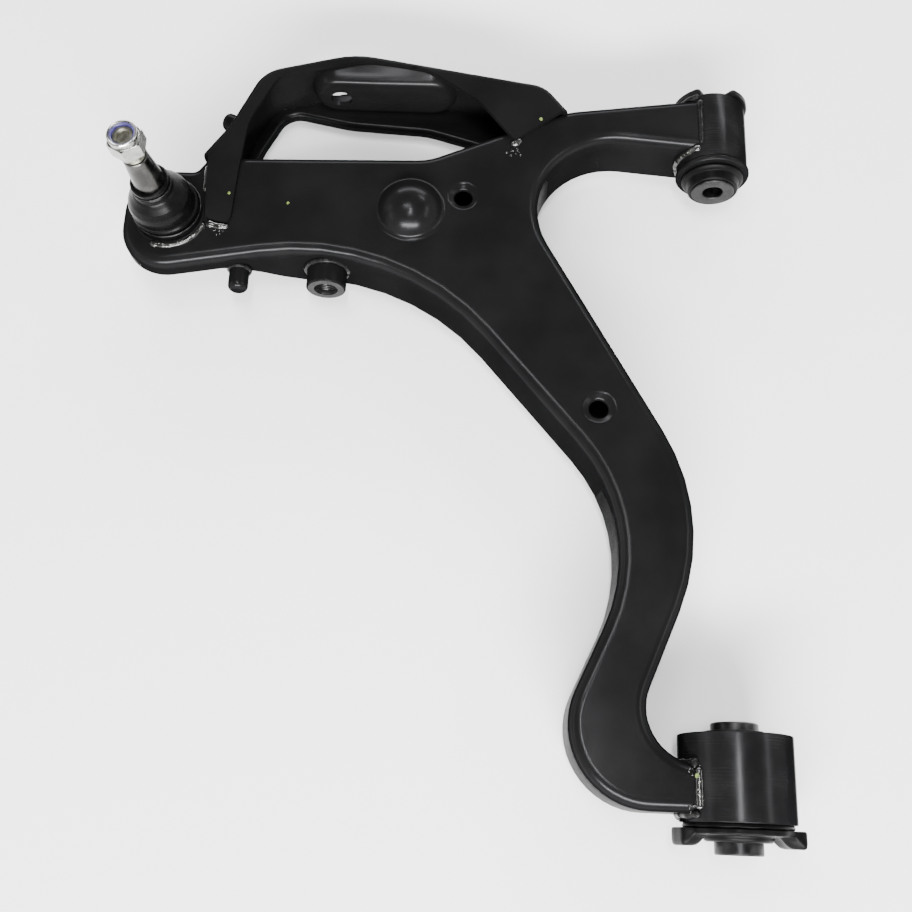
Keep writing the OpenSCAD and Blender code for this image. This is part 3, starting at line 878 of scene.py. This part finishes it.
make_rear_stop()


turned("rear_sleeve_tube",
       [(BOLT_R, -50, 0.5), (15.9, -50, 0.5), (16.75, -49, 0.4), (16.75, 37, 0.4),
        (15.9, 38, 0.5), (BOLT_R, 38, 0.5)],
       ALONG_Y, SLEEVE, "rear_sleeve", ["rear_inner_sleeve"], count=96)


# ---- front bush --------------------------------------------------------------------------

FRONT_R, FRONT_HALF = 28.75, 29.5
AT_FRONT = at(0, FRONT[1], 0) @ ALONG_Y
turned("front_eye_tube",
       [(24.8, -FRONT_HALF, 0.5), (FRONT_R, -FRONT_HALF, 0.8), (FRONT_R, FRONT_HALF, 0.8),
        (24.8, FRONT_HALF, 0.5)],
       AT_FRONT, EYE_COAT, "arm", ["front_eye"], count=112)
ledge = -FRONT_HALF - 5.0
turned("front_shell_lip",
       [(22.6, FRONT_HALF - 0.2, 0), (22.6, ledge + 0.4, 0.5), (24.0, ledge, 0.6),
        (28.9, ledge, 1.2), (30.0, ledge + 1.6, 1.0), (30.0, ledge + 3.4, 1.0),
        (28.4, -FRONT_HALF - 0.02, 0.4), (24.7, -FRONT_HALF - 0.02, 0),
        (24.7, FRONT_HALF - 0.2, 0)],
       AT_FRONT, COAT, "arm", ["front_bush_shell"], count=112)
turned("front_rubber",
       [(17.6, ledge - 12.0, 0.3), (19.6, ledge - 12.4, 0.8), (20.5, ledge - 11.2, 0.8),
        (21.2, ledge - 5.0, 1.0), (23.4, ledge - 4.0, 1.2), (25.3, ledge - 2.6, 1.2),
        (24.6, ledge - 0.1, 0.6), (22.5, ledge + 0.3, 0.4), (22.5, FRONT_HALF - 0.1, 0.8),
        (17.55, FRONT_HALF - 0.1, 0.3)],
       AT_FRONT, RUBBER, "arm", ["front_bush_rubber"], count=112)


def make_front_stop():
    """A rubber plate on the far end, notched at the top between two wings."""
    near_y, far_y = FRONT[1] + FRONT_HALF + 0.02, FRONT[1] + FRONT_HALF + 5.45
    count = 144
    outer = []
    for a in angles(count):
        x, z = math.cos(a), math.sin(a)
        r = 30.6
        if z > 0 and abs(x * r) < 14.5:
            t = min((14.5 - abs(x * r)) / 2.5, 1.0)
            r = r * (1 - t) + t * min(30.6, 17.9 / max(z, 0.3))
        outer.append((x, z, r))
    shape = Shape()
    rings = []
    for y, back in ((near_y, 0.8), (near_y + 0.8, 0.0), (far_y - 0.8, 0.0), (far_y, 0.8)):
        rings.append([(x * (r - back), y, z * (r - back)) for x, z, r in outer])
    rings.append([(x * 17.75, far_y, z * 17.75) for x, z, r in outer])
    rings.append([(x * 17.75, near_y, z * 17.75) for x, z, r in outer])
    rings.append(rings[0])
    shape.loft(rings)
    piece("front_stop", shape.mesh("front_stop"), RUBBER, "arm",
          ["front_bush_stop"], sharp=40)


make_front_stop()
turned("front_sleeve_tube",
       [(BOLT_R, -48 + 0.6, 0.2), (BOLT_R + 0.7, -48, 0.2), (16.9, -48, 0.4), (17.5, -47.2, 0.4),
        (17.5, 36.3, 0.4), (16.8, 37, 0.4), (BOLT_R, 37, 0.4)],
       AT_FRONT, FACE, "front_sleeve", ["front_inner_sleeve"], count=96)


# ---- ball joint --------------------------------------------------------------------------

SHOULDER = 17.5
HOUSING_LOW = -26.5
turned("ball_housing_body",
       [(20.0, HOUSING_LOW, 0.4), (27.2, HOUSING_LOW, 1.6), (28.5, HOUSING_LOW + 2.4, 0.8),
        (28.5, SHOULDER, 0.9), (24.0, SHOULDER, 0), (24.0, SHOULDER + 1.5, 0.3),
        (21.4, SHOULDER + 1.5, 0), (17.1, 11.2, 0), (22.0, 11.1, 0), (22.0, -25, 0),
        (20.0, -25, 0)],
       AT_BALL, COAT, "arm", ["ball_housing"], count=112)
turned("cap_disc",
       [(0.01, -24.2, 0), (15.5, -24.2, 1.0), (17.5, -24.95, 1.0), (21.9, -24.95, 0.2),
        (21.9, -22.0, 0), (0.01, -22.0, 0)],
       AT_BALL, COAT, "arm", ["closing_cap"], closed=False, count=96)

BULGE_AT = 33.0
BOOT_WALL, BOOT_BORE = 1.8, 12.3
LEAN_FROM, LEAN_OVER = 22.0, 10.0


def boot_rings(profile, count=112):
    """Rings of the boot, which lean with the stud above its base."""
    rings = []
    for r, h in profile:
        t = ease((h - LEAN_FROM) / LEAN_OVER)
        rings.append(ring_about(AT_BALL @ Matrix.Rotation(-LEAN * t, 4, "Y"), r, h, count))
    return rings


def boot_half(name, outer, nodes=()):
    profile = [(p.x, p.y) for p in soften(outer)]
    back = [(max(r - BOOT_WALL, BOOT_BORE), h) for r, h in reversed(profile)]
    shape = Shape()
    rings = boot_rings(profile + back)
    rings.append(rings[0])
    shape.loft(rings)
    o = piece(name, shape.mesh(name), BOOT, None, nodes, sharp=60)
    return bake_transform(o)


boot_half("boot_base",
          [(27.1, SHOULDER + 0.02, 0), (27.2, 21.0, 0.6), (26.9, 22.6, 0.5), (25.5, 23.3, 0.6),
           (25.2, 24.6, 0.6), (26.2, 25.6, 0.8), (26.3, 27.0, 1.0), (25.3, 28.2, 0.8),
           (25.0, 29.2, 1.0), (25.2, 31.0, 1.0), (25.2, BULGE_AT, 0)],
          ["boot"])
boot_half("boot_crown",
          [(25.2, BULGE_AT, 0), (25.1, 36.0, 2), (24.0, 40.2, 4), (21.4, 44.6, 5),
           (18.6, 48.2, 4), (16.9, 50.6, 1.5), (16.0, 51.6, 0.8), (15.3, 53.2, 0.8),
           (15.9, 54.4, 0.7), (15.9, 55.6, 0.7), (14.9, 56.6, 0.5), (14.9, 58.6, 0.5),
           (15.4, 59.4, 0.6), (15.2, 61.6, 0.8), (14.0, 62.4, 0.6), (12.6, 62.48, 0)])


def wire_ring(name, r, wire, h, place, body, node):
    """A closed wire clip."""
    profile = [(r + wire * math.cos(a), h + wire * math.sin(a), 0)
               for a in angles(10)]
    return turned(name, profile, place, WIRE, body, [node], count=96, sharp=80)


wire_ring("clip_lower", 26.75, 0.65, 23.9, AT_BALL, "arm", "boot_lower_clip")
wire_ring("clip_upper", 15.4, 0.6, 57.6, ON_STUD, "boot_collar",
          "boot_upper_clip")

turned("stud_body",
       [(0.01, -17.9, 0), (6.8, -16.6, 1), (12.6, -12.8, 1), (17.3, -5, 1), (18.0, 0, 1),
        (17.2, 5.2, 1), (14.2, 11.0, 1), (9.0, 15.6, 2), (9.0, 47.5, 1), (12.2, 52.5, 0.6),
        (12.2, 62.5, 0.4), (9.5, 93.5, 0.4), (8.9, 94.3, 0.3), (7.6, 94.6, 0), (0.01, 94.6, 0)],
       ON_STUD, TAPER, "stud", ["ball_stud"], closed=False, count=96, sharp=40)
screw, screw_rings = thread(8.0, 0.95, 2.0, 94.4, 119.0, ON_STUD)
tip = screw_rings[-1]
for r, h in ((7.3, 119.5), (5.6, 119.5), (5.0, 118.6), (4.6, 117.6)):
    ring = screw.ring(ring_about(ON_STUD, r, h, THREAD_COUNT))
    screw.bridge(tip, ring)
    tip = ring
screw.cap(tip)
screw.cap(screw_rings[0])
piece("stud_thread", screw.mesh("stud_thread"), STUD_END, "stud", sharp=30)


def make_nut():
    """Hexagon with bevelled corners, a groove and a round crown."""
    low, high, af = 104.5, 117.5, 24.0
    apothem = af / 2
    bevel_r = 12.9
    slope = math.tan(math.radians(30))
    count = 144
    shape = Shape()

    def hex_r(a):
        return apothem / math.cos((a + math.pi / 6) % (math.pi / 3) - math.pi / 6)

    sides = [(hex_r(a), max(hex_r(a) - bevel_r, 0) * slope) for a in angles(count)]
    face = [min(r, bevel_r) - 0.3 for r, cut in sides]
    rows = [[(8.15, low + 0.5)] * count, [(8.8, low)] * count, [(r, low) for r in face]]
    rows.append([(r, low + 0.15 + cut) for r, cut in sides])
    rows.append([(r, high - 0.15 - cut) for r, cut in sides])
    rows.append([(r, high) for r in face])
    crown = [(11.4, high), (10.9, high + 0.35), (11.0, high + 0.9), (11.45, high + 1.4),
             (11.5, high + 3.2), (11.3, high + 4.3), (10.8, high + 4.85), (10.3, high + 4.98),
             (9.7, high + 4.7), (9.4, high + 4.1), (9.3, high + 3.9), (9.3, high - 0.2),
             (8.1, high - 0.2)]
    rows += [[c] * count for c in crown]
    rings = [[ON_STUD @ Vector((r * math.cos(a), r * math.sin(a), h))
              for a, (r, h) in zip(angles(count), row)] for row in rows]
    rings.append(rings[0])
    shape.loft(rings)
    piece("lock_nut", shape.mesh("lock_nut"), ZINC, "stud", ["stud_nut"], sharp=24)


make_nut()
turned("nut_ring",
       [(8.1, 117.5, 0), (8.1, 121.0, 0.5), (9.1, 121.6, 0.5), (10.1, 121.2, 0.4),
        (10.1, 117.5, 0)],
       ON_STUD, NYLON, "stud", ["nut_locking_ring"], count=96)


# ---- welds -------------------------------------------------------------------------------


def bead(name, path, radius, seed, mat=WELD, closed=False, ripple=3.0):
    """A weld bead: a lumpy tube along a path of points, with its ends drawn in."""
    flat = 0.8                            # height against width
    pts = [Vector(p) for p in path]
    if closed:
        pts.append(pts[0])
    step = 0.9
    line = []
    for a, b in zip(pts, pts[1:]):
        n = max(1, round((b - a).length / step))
        line += [a.lerp(b, k / n) for k in range(n)]
    if not closed:
        line.append(pts[-1])
    shape = Shape()
    rings = []
    count = 14
    total = len(line)
    up = Vector((0, 0, 1))
    for i, p in enumerate(line):
        if closed:
            d = (line[(i + 1) % total] - line[i - 1]).normalized()
        else:
            d = (line[min(i + 1, total - 1)] - line[max(i - 1, 0)]).normalized()
        side = d.cross(up)
        side = side.normalized() if side.length > 0.2 else Vector((1, 0, 0))
        top = side.cross(d).normalized()
        run = i * step
        phase = (run / ripple + 0.3 * noise.noise(Vector((run * 0.2, seed, 0)))) % 1.0
        size = radius * (0.95 + 0.08 * phase + 0.30 * noise.noise(Vector((run * 0.16, seed, 3))))
        if not closed:
            end = min(i, total - 1 - i) * step / radius
            size *= math.sqrt(max(0.02, 1 - max(0, 1 - end) ** 2))
        ring = []
        for a in angles(count):
            place = Vector((math.cos(a) * 2, math.sin(a) * 2, run * 0.5 + seed))
            rough = 1 + 0.10 * noise.noise(place)
            ring.append(p + (side * math.cos(a) + top * math.sin(a) * flat) * size * rough)
        rings.append(ring)
    if closed:
        rings.append(rings[0])
    made = shape.loft(rings)
    if not closed:
        shape.cap(made[0])
        shape.cap(made[-1])
    return piece(name, shape.mesh(name), mat, "arm", sharp=70)


def arc(centre, r, first, last, z, count=24, axis="z"):
    """Points of an arc: about Z at height z, or about Y at place z."""
    points = []
    for k in range(count + 1):
        a = math.radians(first + (last - first) * k / count)
        if axis == "z":
            points.append((centre[0] + r * math.cos(a), centre[1] + r * math.sin(a), z))
        else:
            points.append((centre[0] + r * math.cos(a), z, centre[1] + r * math.sin(a)))
    return points


eye_x = -math.sqrt(REAR_R ** 2 - PLATE_TOP ** 2)
bead("weld_rear_top", [(eye_x - 0.6, y, PLATE_TOP + 0.4) for y in range(-22, 7, 2)], 3.1, 1)
bead("weld_rear_far", arc((0, 0), REAR_R + 0.4, 140, 205, 8.6, axis="y"), 3.4, 2, WELD_DARK)
bead("weld_rear_near", arc((0, 0), REAR_R + 0.4, 140, 215, -24.6, axis="y"), 3.2, 3, WELD_DARK)
bead("weld_front_top", [(-13.2, FRONT[1] + y, PLATE_TOP + 0.3) for y in range(-18, 26, 2)],
     2.2, 4, WELD_DARK)
bead("weld_front_near", arc((0, 0), FRONT_R + 0.3, 118, 235, FRONT[1] - 21.8, axis="y"), 3.2, 5)
bead("weld_front_far", arc((0, 0), FRONT_R + 0.3, 118, 235, FRONT[1] + 27.8, axis="y"), 2.6, 6,
     WELD_DARK)
bead("weld_housing", arc(BALL, 30.2, -112, -18, PLATE_TOP + 0.4, 30), 2.4, 7)
bead("weld_tongue", [(BALL[0] + 31, BALL[1] - 9.5, PLATE_TOP + 1.4),
                     (BALL[0] + 40, BALL[1] - 12, PLATE_TOP + 1.4),
                     (BALL[0] + 49, BALL[1] - 12.5, PLATE_TOP + 1.4)], 2.8, 8)
bead("weld_strap_root", [(BALL[0] + 26.6, BALL[1] + y, PLATE_TOP + 0.8)
                         for y in range(19, 44, 3)], 2.0, 12)
bead("weld_foot", [(DAMPER_X + 145, STRAP_BACK - 83.5, PLATE_TOP + 1.2),
                   (DAMPER_X + 150, STRAP_BACK - 82.5, PLATE_TOP + 1.2),
                   (DAMPER_X + 153, STRAP_BACK - 78, PLATE_TOP + 1.2)], 2.8, 9)
bead("weld_tube", arc((DAMPER_X, DAMPER_Z), 16.9, 0, 352.8, NEAR_WALL_Y - 1.6, 49, axis="y"),
     2.3, 10, WELD_DARK, closed=True)
bead("weld_near_pin", arc((NEAR_PIN[0], NEAR_PIN[2]), 8.6, 0, 352.8, 380.5, 49, axis="y"),
     1.7, 11, WELD_DARK, closed=True, ripple=2.4)


def spatter(name, centres, spread, count, seed):
    """Little drops of weld metal round some points."""
    rnd = random.Random(seed)
    bm = bmesh.new()
    for _ in range(count):
        c = rnd.choice(centres)
        r = rnd.uniform(0.35, 0.95)
        p = Vector((c[0] + rnd.gauss(0, spread), c[1] + rnd.gauss(0, spread), c[2]))
        squash = Matrix.Diagonal((1.0, rnd.uniform(0.8, 1.2), 0.6, 1.0))
        bmesh.ops.create_icosphere(bm, subdivisions=2, radius=r * MM,
                                   matrix=Matrix.Translation(p * MM) @ squash)
    mesh = bpy.data.meshes.new(name)
    bm.to_mesh(mesh)
    bm.free()
    return piece(name, mesh, WELD, "arm", sharp=80)


spatter("spatter_tongue", [(BALL[0] + 41, BALL[1] - 15, PLATE_TOP)], 3.2, 16, 21)
spatter("spatter_foot", [(DAMPER_X + 148, STRAP_BACK - 87, PLATE_TOP)], 3.0, 18, 22)
spatter("spatter_rear", [(-36, -18, PLATE_TOP), (-36, 2, PLATE_TOP)], 2.6, 12, 23)


def paint_dot(name, x, y, z, r, seed):
    """A brushed-on inspection mark with an uneven edge."""
    shape = Shape()
    count = 28
    rings = []
    for share, h in ((1.0, 0.0), (0.93, 0.22), (0.7, 0.34), (0.35, 0.38)):
        ring = []
        for a in angles(count):
            rr = r * share * (1 + 0.28 * noise.noise(Vector((math.cos(a), math.sin(a), seed))))
            ring.append((x + rr * math.cos(a) * 0.85, y + rr * math.sin(a), z + h))
        rings.append(ring)
    made = shape.loft(rings)
    shape.cap(made[-1])
    shape.cap(made[0])
    return piece(name, shape.mesh(name), PAINT, "arm", sharp=60)


paint_dot("mark_tongue", -393, 435, STRAP_TOP_Z - 0.02, 1.4, 1)
paint_dot("mark_plate", -346, 430, PLATE_TOP - 0.02, 1.3, 2)
paint_dot("mark_strap", -145, 514, STRAP_TOP_Z - 0.02, 1.6, 3)
paint_dot("mark_rear", -33, 0, PLATE_TOP + 3.0, 1.7, 4)

# ---- CAD nodes that stay -----------------------------------------------------------------

KEPT = {"rear_bush_shell": SLEEVE, "ball_seat": PLASTIC, "preload_ring": WIRE}
for node, mat in KEPT.items():
    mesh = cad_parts[node].data
    if mesh.materials:
        for k in range(len(mesh.materials)):
            mesh.materials[k] = mat
    else:
        mesh.materials.append(mat)

# ---- studio ------------------------------------------------------------------------------

FLOOR_Z = -0.0415
CENTRE = (-0.2, 0.3, 0)


def make_floor():
    mesh = bpy.data.meshes.new("floor")
    size = 6.0
    mesh.from_pydata([(-size, -size, FLOOR_Z), (size, -size, FLOOR_Z), (size, size, FLOOR_Z),
                      (-size, size, FLOOR_Z)], [], [(0, 1, 2, 3)])
    mat = bpy.data.materials.new("floor_white")
    mat.use_nodes = True
    shader = mat.node_tree.nodes["Principled BSDF"]
    shader.inputs["Base Color"].default_value = (0.93, 0.93, 0.93, 1)
    shader.inputs["Roughness"].default_value = 0.9
    shader.inputs["Specular IOR Level"].default_value = 0.1
    mesh.materials.append(mat)
    o = bpy.data.objects.new("floor", mesh)
    bpy.context.scene.collection.objects.link(o)


make_floor()

world = bpy.data.worlds.new("studio")
bpy.context.scene.world = world
world.use_nodes = True
wn, wl = world.node_tree.nodes, world.node_tree.links
background = wn["Background"]
coord = wn.new("ShaderNodeTexCoord")
split = wn.new("ShaderNodeSeparateXYZ")
ramp = wn.new("ShaderNodeValToRGB")
wl.new(coord.outputs["Generated"], split.inputs["Vector"])
wl.new(split.outputs["Z"], ramp.inputs["Fac"])
wl.new(ramp.outputs["Color"], background.inputs["Color"])
stops = ramp.color_ramp.elements
stops[0].position, stops[0].color = 0.0, (1, 1, 1, 1)
stops[1].position, stops[1].color = 1.0, (0.03, 0.03, 0.03, 1)
for where, value in ((0.2, 0.8), (0.5, 0.34), (0.78, 0.03)):
    s = stops.new(where)
    s.color = (value, value, value, 1)
background.inputs["Strength"].default_value = 1.7


def soft_light(name, place, target, size, power, size_y=None):
    data = bpy.data.lights.new(name, "AREA")
    data.shape = "RECTANGLE"
    data.size, data.size_y = size, size_y or size
    data.energy = power
    o = bpy.data.objects.new(name, data)
    bpy.context.scene.collection.objects.link(o)
    o.location = place
    aim = Vector(target) - Vector(place)
    o.rotation_euler = aim.to_track_quat("-Z", "Y").to_euler()
    return o


soft_light("key_near", (-0.2, -1.9, 1.45), CENTRE, 2.6, 300, 0.4)
soft_light("fill_left", (-2.2, 0.3, 0.9), CENTRE, 1.6, 6, 0.4)
soft_light("fill_right", (2.0, 0.4, 1.6), CENTRE, 1.6, 16, 0.3)
soft_light("rim_far", (-0.2, 2.4, 0.8), CENTRE, 2.4, 70, 0.4)
soft_light("streak", (-0.19, 0.02, 1.6), (-0.19, 0.02, 0), 0.08, 20, 0.6)
soft_light("pad_glint", (-0.44, 0.52, 1.2), (-0.44, 0.52, 0), 0.40, 6, 0.14)
for k in range(4):
    soft_light(f"spot_{k}", (0.34 + 0.09 * k, 1.42 - 0.05 * k, 0.93), (-0.25, 0.42, 0), 0.07, 1.2)

camera = bpy.data.objects.new("camera", bpy.data.cameras.new("camera"))
bpy.context.scene.collection.objects.link(camera)
camera.location = (-0.19314, -0.0473, 0.8138)
camera.rotation_euler = (math.radians(18.84), 0, math.radians(2.19))
sensor_mm, focal_px, width_px = 36, 1126.5, 912
camera.data.sensor_width = sensor_mm
camera.data.lens = sensor_mm * focal_px / width_px
bpy.context.scene.camera = camera
